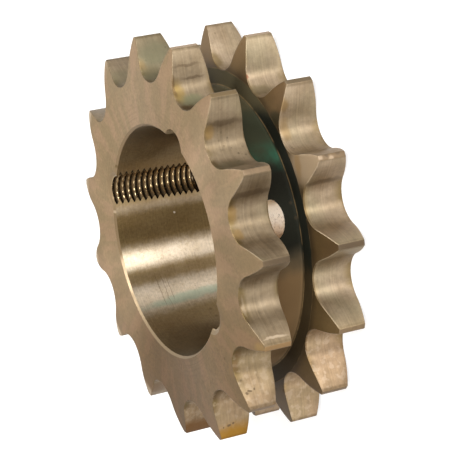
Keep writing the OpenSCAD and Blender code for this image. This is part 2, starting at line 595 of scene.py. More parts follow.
def face_marks_and_shade(coat: Coat) -> None:
    """Painted shade that darkens the front face towards one side and in three more patches, pale patches on
    the tips' curved sides that are a painted highlight, and turning marks in two tints.

    Args:
        coat: the bare face's colour.
    """
    g = coat.g
    x, y, _ = g.axes()
    radius = g.radius()
    fan = g.node("ShaderNodeCombineXYZ", None, [y.arctan2(x) * 9.0, radius * 0.08, 0.0])
    fan_noise = {"Vector": fan, "Scale": 1.0, "Detail": 4.0}
    rays = g.node("ShaderNodeTexNoise", {"noise_dimensions": "2D"}, fan_noise)
    coat.lay(rays.step(0.42, 0.62) * 0.45, OLIVE_RAY)
    coat.lay(rays.step(0.50, 0.36) * 0.40, ROSE_RAY)
    near_bore = radius.step(37.0, 30.0) * g.patchy(90.0, 0.35, 0.65, 2.0)
    turned = g.lines(radius * 1.6, 4.0).step(0.45, 0.62) * near_bore
    coat.scale(turned, (0.86, 0.85, 0.83))
    # Painted shade: the face darkens towards -y, and more so in its lower part.
    coat.scale(y.step(38.0, -42.0), (0.65, 0.62, 0.57))
    coat.scale(y.step(-4.0, -30.0), (0.86, 0.82, 0.79))
    # Painted highlight: pale patches on the tips' curved sides, where they catch light; the mask named worn
    # only breaks them up.
    worn = radius.step(45.6, 48.6) * x.step(-14.0, -26.0) * g.patchy(260.0, 0.25, 0.60)
    coat.lay(worn * 0.6, TIP_SIDE_HIGHLIGHT)
    # Painted shade: this scale and the next two darken three more patches of the face.
    low_side = x.step(16.0, -4.0) * x.step(-34.0, -14.0) * y.step(-12.0, -28.0)
    coat.scale(low_side, (0.79, 0.75, 0.72))
    coat.scale(x.step(-8.0, 12.0) * y.step(-6.0, 14.0), (0.89, 0.88, 0.87))
    coat.scale(x.step(20.0, 36.0) * y.step(-28.0, -6.0), (0.80, 0.79, 0.78))


def inner_side_shading(coat: Coat) -> None:
    """Painted shade on the rows' inner sides, darker in a band across the middle and towards the groove,
    with painted light on the side that is uppermost.

    Args:
        coat: the bare side's colour.
    """
    g = coat.g
    _, y, _ = g.axes()
    # Painted light: the uppermost side is lighter.
    coat.lay(y.step(30.0, 48.0) * 0.4, TOP_SIDE_LIGHT)
    # Painted shade: darker in a band across the middle and towards the groove.
    coat.scale(y.step(-11.0, -6.0) * y.step(10.0, 4.0), (0.66, 0.62, 0.55))
    coat.scale(g.radius().step(42.5, 39.5), (0.55, 0.55, 0.55))


def groove_oil_and_light(coat: Coat) -> None:
    """Painted light low on the groove's floor and sides and over its top, dark oil with a green tint on the
    floor higher up, and painted highlights on the corners.

    Args:
        coat: the groove's colour, near-black as painted shade.
    """
    g = coat.g
    _, y, z = g.axes()
    radius = g.radius()
    y = y + (g.noise(120.0, 3.0) - 0.5) * 7.0
    floor = radius.step(36.4, 35.6) * abs(z - MIDDLE_Z).step(4.6, 4.1)
    # Painted light: lighter brown low on the floor, and faintly on the sides, where light reaches into the
    # groove.
    coat.lay(y.step(-3.5, -12.0) * floor * 0.9, LOW_FLOOR_LIGHT)
    coat.lay(y.step(-6.0, -14.0) * 0.25, LOW_SIDE_LIGHT)
    coat.lay(y.step(13.0, 20.0) * floor * 0.8, OILY_FLOOR)
    # Painted light: lighter brown over the top of the groove and its flat ring.
    coat.lay(y.step(26.0, 31.0) * 0.7, TOP_RING_LIGHT)
    coat.scale(y.step(-12.0, -6.0), (0.70, 0.84, 1.05))
    green = abs(y - 16.5).step(6.0, 0.5) * g.patchy(140.0, 0.30, 0.60)
    coat.lay(green * floor * 0.85, GREEN_OIL)
    # Painted highlight: pale lines along the groove's corners, where their rounding catches light; the mask
    # named worn only breaks them up.
    corner = abs(radius - FILLET_TOP_R).step(0.20, 0.06) + abs(radius - SIDE_EDGE_R).step(0.14, 0.04)
    worn = g.patchy(300.0, 0.30, 0.60, 2.0)
    coat.lay(corner * worn * 0.5, CORNER_HIGHLIGHT)


def window_light_and_specks(coat: Coat) -> None:
    """Painted shade: a darker tan over the lower part of the opening, below the near-white painted
    highlight of its upper part, and dark specks further up.

    Args:
        coat: the opening's near-white colour, a painted highlight.
    """
    g = coat.g
    _, y, _ = g.axes()
    # Painted shade: the lower part of the wall turns a darker tan.
    lower_shade = (y + (g.noise(600.0, 3.0) - 0.5) * 4.0).step(3.6, -0.8)
    coat.lay(lower_shade * 0.85, OPENING_SHADE)
    specks = g.patchy(1900.0, 0.56, 0.66, 2.0) * y.step(6.0, 1.0)
    coat.lay(specks * 0.7, OPENING_SPECK)


def chamfer_painted_highlight(coat: Coat) -> None:
    """Darker colours over the bore's chamfer, but for one band low on one side, where its bright colour
    stays as a painted highlight.

    Args:
        coat: the bright chamfer's colour.
    """
    g = coat.g
    _, y, _ = g.axes()
    # The three layers below cover all but one band, which keeps the bright base as a painted highlight.
    coat.lay(y.step(-11.5, -14.5), CHAMFER_LOW)
    coat.lay(y.step(-6.0, -3.0), CHAMFER_SIDE)
    coat.lay(y.step(6.0, 12.0), CHAMFER_HIGH)


def bore_reflections_and_specks(coat: Coat) -> None:
    """Painted reflections in dark yellowish bands along the bore, with a grain of specks.

    Args:
        coat: the bare wall's colour.
    """
    g = coat.g
    x, y, _ = g.axes()
    turn = (y * -1.0).arctan2(x * -1.0) * math.degrees(1.0) + (g.noise(700.0, 3.0) - 0.5) * 3.0
    # Painted reflections: darker yellowish bands along the bore stand in for dark surroundings that the
    # bare steel would mirror.
    coat.scale(abs(turn + 5.0).step(14.5, 6.0), DARK_REFLECTION_BAND)
    reflection_bands = abs(turn - 21.0).step(6.5, 2.0) + turn.step(38.0, 47.0) + turn.step(-13.0, -20.0)
    coat.scale(reflection_bands.clamp(), DIM_REFLECTION_BAND)
    grain = g.noise(1500.0, 3.0, 1.0, 0.7).step(0.50, 0.62)
    coat.lay(grain * g.patchy(160.0, 0.35, 0.60, 2.0) * 0.3, OIL_SPECK)


def thread_root_shade(coat: Coat) -> None:
    """Painted shade in the thread's roots, brown and then near black.

    Args:
        coat: the bare crests' colour.
    """
    g = coat.g
    first, second = (math.radians(angle) for angle in THREADED_ANGLES)
    root = g.distance(SCREW_CIRCLE_R * math.cos(first), SCREW_CIRCLE_R * math.sin(first))
    root = root.least(g.distance(SCREW_CIRCLE_R * math.cos(second), SCREW_CIRCLE_R * math.sin(second)))
    # Painted shade: the roots darken, deepest at the bottom of each groove.
    coat.lay(root.step(3.85, 4.2) * 0.45, ROOT_SHADE)
    coat.lay(root.step(4.15, 4.6) * 0.9, DEEP_ROOT_SHADE)


FINISHES: dict[Zone, SteelFinish] = {
    Zone.FACE: SteelFinish(
        "turned_face", (0.415, 0.32, 0.205), (0.325, 0.238, 0.142), (0.42, 0.31, 0.20),
        metallic=0.3, roughness=0.6, mottle_scale=420.0, streak_share=0.0, bump=0.15, speck_share=0.35,
        grain=0.40, grain_scale=1300.0, film=face_marks_and_shade, stains=FACE_STAINS,
        tone=(0.60, 0.55, 0.48), specular=0.3,
    ),
    Zone.FLANK: SteelFinish(
        "hobbed_flank", (0.62, 0.53, 0.415), (0.345, 0.27, 0.175), (0.445, 0.42, 0.285),
        metallic=0.8, roughness=0.52, brushed=0.8, mottle_scale=210.0, streak_share=0.42, bump=0.22,
        speck_share=0.45, speck_scale=620.0, grain=0.22, film=flank_film_and_shade, stains=FLANK_STAINS_AND_SHADING,
        tone=(0.565, 0.51, 0.445),
    ),
    Zone.BORE: SteelFinish(
        "bored_wall", (0.58, 0.50, 0.405), (0.42, 0.335, 0.23), (0.48, 0.415, 0.29),
        metallic=0.95, roughness=0.355, brushed=0.99, mottle_scale=150.0, streak_share=0.26,
        streak_scale=2600.0, bump=0.12, speck_share=0.3, grain=0.35, grain_scale=1600.0,
        film=bore_reflections_and_specks, stains=BORE_STAINS,
        tone=(0.66, 0.64, 0.61),
    ),
    Zone.THREAD: SteelFinish(
        "cut_thread", (0.68, 0.54, 0.37), (0.46, 0.34, 0.20), (0.54, 0.42, 0.26),
        metallic=0.85, roughness=0.17, brushed=0.0, streak_share=0.1, bump=0.05, film=thread_root_shade,
        tone=(0.64, 0.60, 0.51),
    ),
    # Painted shade: the near-black base stands in for the shade deep in the groove.
    Zone.GROOVE: SteelFinish(
        "turned_groove", (0.022, 0.020, 0.013), (0.014, 0.013, 0.009), (0.024, 0.026, 0.016),
        metallic=0.2, roughness=0.55, brushed=0.6, mottle_scale=110.0, streak_share=0.12, bump=0.1,
        specular=0.05, film=groove_oil_and_light,
        tone=(0.80, 0.69, 0.56),
    ),
    # Painted shade: the dark brown base of the rows' inner sides stands in for the shade between the rows.
    Zone.INNER: SteelFinish(
        "inner_side", (0.15, 0.105, 0.056), (0.095, 0.064, 0.033), (0.14, 0.11, 0.053),
        metallic=0.4, roughness=0.5, brushed=0.6, mottle_scale=140.0, streak_share=0.0, bump=0.08,
        film=inner_side_shading, stains=INNER_STAINS_AND_LIGHT,
        tone=(0.63, 0.51, 0.34), specular=0.3,
    ),
    # Painted highlight: the near-white base stands in for light on the opening's wall.
    Zone.WINDOW: SteelFinish(
        "milled_opening", (0.98, 0.95, 0.88), (0.93, 0.86, 0.77), (0.97, 0.90, 0.82),
        metallic=0.6, roughness=0.35, brushed=0.0, mottle_scale=500.0, bump=0.2, speck_share=0.9,
        speck_scale=900.0, film=window_light_and_specks,
        tone=(0.98, 0.90, 0.80),
    ),
    Zone.LAND: SteelFinish(
        "tip_land", (0.29, 0.22, 0.14), (0.21, 0.15, 0.09), (0.28, 0.205, 0.11),
        metallic=0.4, roughness=0.55, brushed=0.7, mottle_scale=240.0, streak_share=0.2, bump=0.2,
        stains=LAND_STAINS_AND_SHADING,
        tone=(0.58, 0.52, 0.45),
    ),
    # Painted highlight: the bright base shows only in the one band that the chamfer's overlay leaves
    # uncovered.
    Zone.CHAMFER: SteelFinish(
        "bore_chamfer", (0.60, 0.49, 0.37), (0.46, 0.35, 0.25), (0.55, 0.43, 0.32),
        metallic=0.5, roughness=0.45, brushed=0.5, specular=0.1, mottle_scale=300.0, streak_share=0.1,
        film=chamfer_painted_highlight,
        tone=(0.72, 0.66, 0.56),
    ),
}


def add_object(name: str, data: bpy.types.ID) -> bpy.types.Object:
    """Make an object and put it into the scene.

    Args:
        name: the object's name.
        data: its mesh, lamp or camera.

    Returns:
        The object.
    """
    made = bpy.data.objects.new(name, data)
    bpy.context.scene.collection.objects.link(made)
    return made


@dataclass
class Skin:
    """Vertices and faces of the body while it grows, in millimetres."""

    points: list[Point] = field(default_factory=list)
    faces: list[tuple[int, ...]] = field(default_factory=list)
    zones: list[int] = field(default_factory=list)

    def ring(self, points: Sequence[Point]) -> list[int]:
        """Add points.

        Args:
            points: the new points.

        Returns:
            Their numbers.
        """
        start = len(self.points)
        self.points.extend(points)
        return list(range(start, len(self.points)))

    def face(self, corners: Sequence[int], zone: Zone) -> None:
        """Add one face, without repeated corners.

        Args:
            corners: point numbers around it.
            zone: its finish.
        """
        kept = tuple(dict.fromkeys(corners))
        if len(kept) > 2:
            self.faces.append(kept)
            self.zones.append(int(zone))

    def band(
        self, first: Sequence[int], second: Sequence[int], zone: Zone | Sequence[Zone], closed: bool = True
    ) -> None:
        """Join two rows of equally many points by quads.

        Args:
            first: one row's point numbers.
            second: the other row's.
            zone: finish of the new faces, or one for each.
            closed: whether the rows are loops.
        """
        count = len(first)
        for i in range(count if closed else count - 1):
            j = (i + 1) % count
            own = zone if isinstance(zone, Zone) else zone[i]
            self.face((first[i], first[j], second[j], second[i]), own)

    def grow(self, last: Sequence[int], points: Sequence[Point], zone: Zone | Sequence[Zone]) -> list[int]:
        """Add a loop of points and join it to the last one.

        Args:
            last: the loop that it grows from.
            points: the new loop's points.
            zone: finish of the new faces, or one for each.

        Returns:
            The new loop.
        """
        ring = self.ring(points)
        self.band(last, ring, zone)
        return ring

    def zip(
        self,
        first: Sequence[int],
        second: Sequence[int],
        where_first: Sequence[float],
        where_second: Sequence[float],
        zone: Zone,
    ) -> None:
        """Join two rows of different point counts by triangles.

        Args:
            first: one row's point numbers.
            second: the other row's.
            where_first: rising places along the first row.
            where_second: rising places along the second row.
            zone: finish of the new faces.
        """
        i = j = 0
        while i < len(first) - 1 or j < len(second) - 1:
            step_first = j == len(second) - 1 or (
                i < len(first) - 1 and where_first[i + 1] <= where_second[j + 1]
            )
            if step_first:
                self.face((first[i], first[i + 1], second[j]), zone)
                i += 1
            else:
                self.face((first[i], second[j + 1], second[j]), zone)
                j += 1


@dataclass
class ToothForm:
    """Tooth outline of a roller chain row, with its curved sides."""

    pitch: float = 19.05
    roller_d: float = 12.07
    teeth: int = 15
    tip_r: float = 50.05
    relief_r: float = 39.75
    relief_w: float = 1.75
    relief_angle: float = math.radians(3.0)
    corner: float = 0.16
    corner_turn: float = 0.22
    corner_drop: float = 0.26
    seat_steps: int = 9
    flank_steps: int = 9
    widest_turn: float = 1.2
    halvings: int = 40

    def __post_init__(self) -> None:
        """Work out the circles of the outline."""
        self.step = 2 * math.pi / self.teeth
        self.pitch_r = self.pitch / 2 / math.sin(math.pi / self.teeth)
        self.seat_r = 0.505 * self.roller_d + 0.034 * self.roller_d ** (1 / 3)
        self.seat_half = math.radians((130 - 90 / self.teeth) / 2)
        lower = 0.12 * self.roller_d * (self.teeth + 2)
        upper = 0.008 * self.roller_d * (self.teeth**2 + 180)
        self.flank_r = 0.5 * (lower + upper)
        rise = self.tip_r - self.relief_r
        s, c = math.sin(self.relief_angle), math.cos(self.relief_angle)
        self.relief_arc = (rise**2 + self.relief_w**2) / (2 * (self.relief_w * c - rise * s))
        self.relief_x = self.relief_r - self.relief_arc * s
        self.relief_drop = self.relief_arc * c

    def relief(self, radius: float) -> float:
        """How far a row's side lies back.

        Args:
            radius: distance from the axis.

        Returns:
            The setback, 0 inside relief_r.
        """
        if radius <= self.relief_r:
            return 0.0
        return self.relief_drop - math.sqrt(self.relief_arc**2 - (radius - self.relief_x) ** 2)

    def half(self) -> list[tuple[float, float]]:
        """Draw the outline from a gullet's middle to the next tooth's middle.

        Returns:
            Pairs of angle from the gullet's middle and radius.
        """
        points: list[tuple[float, float]] = []
        for k in range(self.seat_steps + 1):
            t = self.seat_half * k / self.seat_steps
            points.append((self.seat_r * math.sin(t), self.pitch_r - self.seat_r * math.cos(t)))
        full = self._tip_turn()
        end = full - self.corner / self.flank_r
        points += [self._flank_point(end * k / self.flank_steps) for k in range(1, self.flank_steps + 1)]
        polar = [(math.atan2(x, y), math.hypot(x, y)) for x, y in points]
        tip = math.atan2(*self._flank_point(full))
        gap = self.corner / self.tip_r
        polar.append((tip + gap * self.corner_turn, self.tip_r - self.corner * self.corner_drop))
        polar.append((tip + gap, self.tip_r))
        polar.append(((tip + gap + self.step / 2) / 2, self.tip_r))
        return polar

    def _flank_point(self, turn: float) -> tuple[float, float]:
        """Place a point on the flank's curve.

        Args:
            turn: angle about the flank's centre, from the end of the seat.

        Returns:
            Its x and y, with the gullet's middle on the y axis.
        """
        reach = self.seat_r + self.flank_r
        cx = math.sin(self.seat_half) * reach
        cy = self.pitch_r - math.cos(self.seat_half) * reach
        a = math.atan2(math.cos(self.seat_half), -math.sin(self.seat_half)) - turn
        return cx + self.flank_r * math.cos(a), cy + self.flank_r * math.sin(a)

    def _tip_turn(self) -> float:
        """Find the turn at which the flank reaches the tip circle, by halving.

        Returns:
            The angle about the flank's centre.
        """
        low, high = 0.0, self.widest_turn
        for _ in range(self.halvings):
            middle = (low + high) / 2
            if math.hypot(*self._flank_point(middle)) < self.tip_r:
                low = middle
            else:
                high = middle
        return low

    def outline(self) -> list[tuple[float, float]]:
        """Join the halves into the whole outline.

        Returns:
            Pairs of angle and radius, counterclockwise.
        """
        half = self.half()
        middle = [(self.step / 2, self.tip_r)]
        pitch = half + middle + [(self.step - a, r) for a, r in reversed(half[1:])]
        first = math.pi / 2 - self.step / 2
        return [(first + k * self.step + a, r) for k in range(self.teeth) for a, r in pitch]


@dataclass
class ScrewHole:
    """A half-round hole in the bore's wall, shared with the bush's screw."""

    angle: float
    depth: float
    threaded: bool
    circle_r: float = SCREW_CIRCLE_R
    radius: float = 4.7625
    turn: float = 1.5875
    thread_depth: float = 0.98
    root_edge: float = 0.9
    slope_share: float = 0.72
    run_out: float = 1.2
    sink: float = 0.6
    cone_slope: float = 0.6
    cone_tip: float = 0.05
    first_guess: float = 1.45
    rim_rounds: int = 5
    top: float = TOP_Z

    def size(self, around: float, z: float) -> float:
        """Distance from the hole's own axis to its wall.

        Args:
            around: angle about that axis, 0 away from the sprocket's axis.
            z: height.

        Returns:
            The distance, thread included.
        """
        below = self.top - self.depth - z
        if below > 0:
            return max(self.cone_tip, self.radius - below / self.cone_slope)
        if not self.threaded:
            return self.radius
        mouth = max(0.0, z - (self.top - self.sink))
        phase = (z / self.turn - around / (2 * math.pi)) % 1.0
        ridge = min(1.0, max(0.0, (self.root_edge - abs(2.0 * phase - 1.0)) / self.slope_share))
        fade = min(1.0, -below / self.run_out)
        crest = self.radius - self.thread_depth
        return max(self.radius - self.thread_depth * ridge * fade, crest + 2 * mouth)

    def rim(self, z: float, bore_r: float, side: float) -> float:
        """Find where the hole's wall meets the bore.

        Args:
            z: height.
            bore_r: bore radius at that height.
            side: 1 or -1, for the side of the hole.

        Returns:
            The angle about the hole's axis, or 0 where they don't meet.
        """
        around = self.first_guess * side
        for _ in range(self.rim_rounds):
            size = self.size(around, z)
            level = (bore_r**2 - self.circle_r**2 - size**2) / (2 * self.circle_r * size)
            if abs(level) >= 1.0:
                return 0.0
            around = math.acos(level) * side
        return around

    def at(self, around: float, z: float) -> tuple[float, float]:
        """Place a point of the wall.

        Args:
            around: angle about the hole's axis.
            z: height.

        Returns:
            Its angle from the hole's middle and its distance, both about the sprocket's axis.
        """
        size = self.size(around, z)
        x, y = self.circle_r + size * math.cos(around), size * math.sin(around)
        return math.atan2(y, x), math.hypot(x, y)


@dataclass
class SprocketBody:
    """The whole sprocket: two toothed rows, the wall between them and the tapered bore."""

    form: ToothForm = field(default_factory=ToothForm)
    row_w: float = ROW_W
    row_pitch: float = ROW_PITCH
    groove_r: float = 35.3
    groove_fillet: float = 0.7
    bore_r: float = 28.575
    taper: float = math.radians(4.0)
    bore_chamfer: float = 0.5
    edge: float = 0.16
    top: float = TOP_Z
    least_step: float = 0.12
    side_r: float = 38.2
    edge_steps: tuple[tuple[float, float], ...] = ((0.13, 0.5), (0.5, 0.13), (1.0, 0.0))
    side_steps: tuple[float, ...] = (0.15, 0.3, 0.45, 0.6, 0.75, 0.88, 1.0)
    flank_steps: tuple[float, ...] = (0.25, 0.5, 0.75)
    face_radii: tuple[float, ...] = (38.6, 36.5, 33.2)
    land_share: float = 0.3
    worn_from: float = 48.5
    worn_reach: float = 6.0
    wall_heights: tuple[float, ...] = (3.0, 6.0, 10.0, 14.0, 18.0, 22.0, 26.0)
    hole_half: float = math.radians(12.5)
    hole_share: float = 0.8
    hole_steps: tuple[int, int] = (11, 17)
    no_hole_edge: float = 0.02
    plain_step: float = math.radians(1.5)
    rows_a_turn: int = 14
    window_angle: float = math.radians(4.6)
    window_z: float = 16.5
    window_len: float = 9.3
    window_w: float = 5.6
    window_reach: tuple[float, float] = (22.0, 37.0)
    window_steps: int = 48
    sharp_from: float = math.radians(32.0)
    holes: tuple[ScrewHole, ...] = (
        ScrewHole(math.radians(PLAIN_ANGLE), 19.0, False),
        *(ScrewHole(math.radians(angle), 24.0, True) for angle in THREADED_ANGLES),
    )

    def __post_init__(self) -> None:
        """Work out the outline and start the skin."""
        self.skin = Skin()
        self.outline = self.form.outline()
        self.normals = self._normals()

    def _normals(self) -> list[tuple[float, float]]:
        """Work out the outline's normals in the plane.

        Returns:
            One unit vector for each point, pointing out of the metal.
        """
        flat = [(r * math.cos(a), r * math.sin(a)) for a, r in self.outline]
        out = []
        for i in range(len(flat)):
            (x0, y0), (x1, y1) = flat[i - 1], flat[(i + 1) % len(flat)]
            dx, dy = x1 - x0, y1 - y0
            size = math.hypot(dx, dy)
            out.append((dy / size, -dx / size))
        return out

    def _loop(self, inset: float, height: Callable[[float], float], worn: bool) -> list[Point]:
        """Move the outline in.

        Args:
            inset: how far, along its normals.
            height: gives a point's height from its radius.
            worn: whether one tip is rounded over.

        Returns:
            The points.
        """
        points = []
        for (a, r), (nx, ny) in zip(self.outline, self.normals):
            kept = r - self._wear(a, r) if worn else r
            x, y = kept * math.cos(a) - nx * inset, kept * math.sin(a) - ny * inset
            points.append((x, y, height(math.hypot(x, y))))
        return points

    def _side(self, inset: float, lift: float, face: float, inward: float, worn: bool) -> list[Point]:
        """Outline moved in by inset, and lift inside the curved side of a row whose flat one is at face."""
        return self._loop(inset, lambda r: face + inward * (self.form.relief(r) + lift), worn)

    def _row(self, low: float, worn: bool) -> tuple[list[int], list[int]]:
        """Make one toothed row.

        Args:
            low: height of its lower side.
            worn: whether one of its tips is rounded over.

        Returns:
            The innermost loops of its lower and upper sides, at relief_r.
        """
        zones = self._edge_zones()
        flank_low, inner_low = self._half_row(low, 1.0, zones, worn)
        flank_high, inner_high = self._half_row(low + self.row_w, -1.0, zones, worn)
        low_points, high_points = ([self.skin.points[i] for i in loop] for loop in (flank_low, flank_high))
        last = flank_low
        for share in self.flank_steps:
            loop = [(x, y, z + (end[2] - z) * share) for (x, y, z), end in zip(low_points, high_points)]
            last = self.skin.grow(last, loop, zones)
        self.skin.band(last, flank_high, zones)
        return inner_low, inner_high

    def _edge_zones(self) -> list[Zone]:
        """Tell the tips' lands from the flanks.

        Returns:
            The finish of each stretch of the outline.
        """
        limit = self.form.tip_r - self.form.corner * self.land_share
        radii = [r for _, r in self.outline]
        lower = [min(r, following) for r, following in zip(radii, radii[1:] + radii[:1])]
        return [Zone.LAND if r > limit else Zone.FLANK for r in lower]

    def _half_row(
        self, face: float, inward: float, zones: list[Zone], worn: bool
    ) -> tuple[list[int], list[int]]:
        """Make one side of a row, with its broken edge.

        Args:
            face: height of the flat side.
            inward: 1 where the metal is above that height, -1 where it is below.
            zones: finish of each stretch of the outline.
            worn: whether one tip is rounded over.

        Returns:
            The loop where the flank starts, and the innermost loop.
        """
        form, edge = self.form, self.edge
        flank = self.skin.ring(self._side(0.0, edge, face, inward, worn))
        last = flank
        for inset, lift in self.edge_steps:
            rim = self._side(edge * inset, edge * lift, face, inward, worn)
            last = self.skin.grow(last, rim, zones)
        side_zone = Zone.FACE if face in (0.0, self.top) else Zone.INNER
        for share in self.side_steps:
            loop = []
            for x, y, _ in rim:
                r, a = math.hypot(x, y), math.atan2(y, x)
                end = min(form.relief_r, r - self.least_step)
                now = r + (end - r) * share
                loop.append((now * math.cos(a), now * math.sin(a), face + inward * form.relief(now)))
            last = self.skin.grow(last, loop, side_zone)
        return flank, last

    def _circle(self, radius: float, z: float) -> list[Point]:
        """Points of a circle, at the outline's angles."""
        return [(radius * math.cos(a), radius * math.sin(a), z) for a, _ in self.outline]

    def _groove(self, low: list[int], high: list[int]) -> None:
        """Join the rows' inner sides through the groove.

        Args:
            low: the rear row's innermost loop.
            high: the front row's innermost loop.
        """
        r, f = self.groove_r, self.groove_fillet
        z0, z1 = self.row_w, self.row_pitch
        turns = [k * math.pi / 12 for k in range(7)]
        corner = [(self.side_r, z0), (r + f + 0.9, z0)]
        corner += [(r + f - f * math.sin(t), z0 + f - f * math.cos(t)) for t in turns]
        floor = [(r, z0 + (z1 - z0) * share) for share in (0.3, 0.5, 0.7)]
        last = low
        for radius, z in corner + floor + [(a, z0 + z1 - z) for a, z in reversed(corner)]:
            last = self.skin.grow(last, self._circle(radius, z), Zone.GROOVE)
        self.skin.band(last, high, Zone.GROOVE)

    def _cone(self, z: float) -> float:
        """The bore's radius at a height, chamfers included."""
        wall = self.bore_r - (self.top - z) * math.tan(self.taper)
        return wall + max(0.0, z - (self.top - self.bore_chamfer), self.bore_chamfer - z)

    def _wall(self, angle: float, z: float, hole: ScrewHole | None, share: float = 0.0) -> Point:
        """Point of the bore's surface.

        Args:
            angle: the column's angle where no hole is near.
            z: height.
            hole: the hole that the column belongs to.
            share: the column's place across that hole, from -1 to 1.

        Returns:
            The point.
        """
        radius = self._cone(z)
        if hole is not None:
            side = 1.0 if share > 0 else -1.0
            rim = hole.rim(z, radius, side)
            edge = hole.at(rim, z)[0] if rim else self.no_hole_edge * side
            inside = abs(share) / self.hole_share
            if inside > 1.0:
                beyond = (abs(share) - self.hole_share) / (1.0 - self.hole_share)
                angle = hole.angle + edge + (self.hole_half * side - edge) * beyond
            elif rim:
                turn, radius = hole.at(rim * inside, z)
                angle = hole.angle + turn
            else:
                angle = hole.angle + edge * inside
        return radius * math.cos(angle), radius * math.sin(angle), z

    def _heights(self, hole: ScrewHole | None) -> list[float]:
        """Choose the heights of a column's points.

        Args:
            hole: the hole that the column belongs to.

        Returns:
            The heights, from the bottom up.
        """
        top, cut = self.top, self.bore_chamfer
        if hole is None:
            return [0.0, cut * 0.5, cut, *self.wall_heights, top - cut, top - cut * 0.5, top]
        end = top - hole.depth
        cone = hole.radius * hole.cone_slope
        fine = [0.0, cut * 0.5, cut]
        fine += [z for z in (end - cone + cone * k / 8 for k in range(9)) if z > cut + 0.1]
        if hole.threaded:
            mouth = top - hole.sink
            count = int((mouth - end) / hole.turn * self.rows_a_turn)
            fine += [end + (mouth - end) * k / count for k in range(1, count + 1)]
            fine += [top - hole.sink * 0.66, top - cut, top - hole.sink * 0.33, top]
        else:
            fine += [end + (top - cut - end) * k / 6 for k in range(1, 7)] + [top - cut * 0.5, top]
        return sorted(set(fine))

    def _columns(self) -> list[tuple[float, ScrewHole | None, float]]:
        """Share the bore's wall out into columns, closer together at the holes.

        Returns:
            Each column's angle, its hole and its place across that hole.
        """
        order = sorted(self.holes, key=lambda h: h.angle)
        columns: list[tuple[float, ScrewHole | None, float]] = []
        for index, hole in enumerate(order):
            steps = self.hole_steps[hole.threaded]
            inside = [self.hole_share * k / steps for k in range(-steps, steps + 1)]
            beyond = [self.hole_share + (1.0 - self.hole_share) * k for k in (0.3, 0.65, 1.0)]
            shares = [-b for b in reversed(beyond)] + inside + beyond
            columns += [(hole.angle + self.hole_half * s, hole, s) for s in shares]
            once_round = 2 * math.pi if index == len(order) - 1 else 0.0
            start = hole.angle + self.hole_half
            end = order[(index + 1) % len(order)].angle + once_round - self.hole_half
            count = int((end - start) / self.plain_step)
            columns += [(start + (end - start) * k / count, None, 0.0) for k in range(1, count)]
        return columns

    def _bore(self) -> tuple[list[int], list[int]]:
        """Make the bore's wall.

        Returns:
            The bottom loop and the top loop.
        """
        columns = self._columns()
        made: list[tuple[list[int], list[float]]] = []
        for angle, hole, share in columns:
            heights = self._heights(hole)
            made.append((self.skin.ring([self._wall(angle, z, hole, share) for z in heights]), heights))
        for i, (column, heights) in enumerate(made):
            j = (i + 1) % len(made)
            following, following_heights = made[j]
            hole, share = columns[i][1], (columns[i][2] + columns[j][2]) / 2
            if hole is columns[j][1]:
                cut = hole is not None and hole.threaded and abs(share) < self.hole_share
                zones = [self._bore_zone((a + b) / 2, cut) for a, b in zip(heights, heights[1:])]
                self.skin.band(column, following, zones, closed=False)
            else:
                self.skin.zip(column, following, heights, following_heights, Zone.BORE)
        return [column[0] for column, _ in made], [column[-1] for column, _ in made]

    def _bore_zone(self, z: float, cut: bool) -> Zone:
        """Finish of the bore's wall at a height; cut says that the place lies in a threaded hole."""
        wall = self.bore_chamfer < z < self.top - self.bore_chamfer
        return (Zone.THREAD if cut else Zone.BORE) if wall else Zone.CHAMFER

    def _close_face(self, outer: list[int], inner: list[int], z: float) -> None:
        """Join a row's outer side to the bore's mouth.

        Args:
            outer: loop at relief_r.
            inner: the bore's loop.
            z: height of the face.
        """
        angles = [math.atan2(self.skin.points[i][1], self.skin.points[i][0]) for i in inner]
        last = outer
        for radius in self.face_radii:
            last = self.skin.grow(last, self._circle(radius, z), Zone.FACE)
        outline = [a for a, _ in self.outline]
        start = outline[0]
        turned = [(a - start) % (2 * math.pi) for a in angles]
        first = turned.index(min(turned))
        inner = inner[first:] + inner[:first]
        turned = turned[first:] + turned[:first]
        self.skin.zip(
            last + last[:1], inner + inner[:1],
            [a - start for a in outline] + [2 * math.pi], turned + [turned[0] + 2 * math.pi], Zone.FACE,
        )

    def _wear(self, angle: float, radius: float) -> float:
        """How much metal is gone from the tip that is rounded over.

        Args:
            angle: the place's angle.
            radius: its distance from the axis.

        Returns:
            The loss, 0 away from that tip.
        """
        offset = (math.degrees(angle) - WORN_TIP_ANGLE + 180) % 360 - 180
        if radius > self.worn_from and abs(offset) < self.worn_reach:
            return 0.35 * max(0.0, 1.0 - abs(offset + 1.0) / 4.0) + 0.25 * max(0.0, offset / 4.0)
        return 0.0

    def _cutter(self) -> bpy.types.Object:
        """Make the oval plug that cuts the opening through the groove's floor.

        Returns:
            The plug's object.
        """
        bm = bmesh.new()
        ring: list[tuple[float, float]] = []
        for k in range(self.window_steps):
            t = 2 * math.pi * k / self.window_steps
            across, along = math.cos(t) / 2, math.sin(t) / 2
            ring.append((self.window_len * across, self.window_w * along + self.window_z))
        turn = Matrix.Rotation(self.window_angle, 3, "Z")
        loops = []
        for x in self.window_reach:
            loops.append([bm.verts.new(turn @ Vector((x, y, z)) * MM) for y, z in ring])
        bm.faces.new(loops[0])
        bm.faces.new(list(reversed(loops[1])))
        for i in range(len(ring)):
            j = (i + 1) % len(ring)
            bm.faces.new((loops[0][i], loops[1][i], loops[1][j], loops[0][j]))
        bmesh.ops.recalc_face_normals(bm, faces=bm.faces)
        for face in bm.faces:
            face.material_index = int(Zone.WINDOW)
        mesh = bpy.data.meshes.new("opening_cutter")
        bm.to_mesh(mesh)
        bm.free()
        return add_object("opening_cutter", mesh)

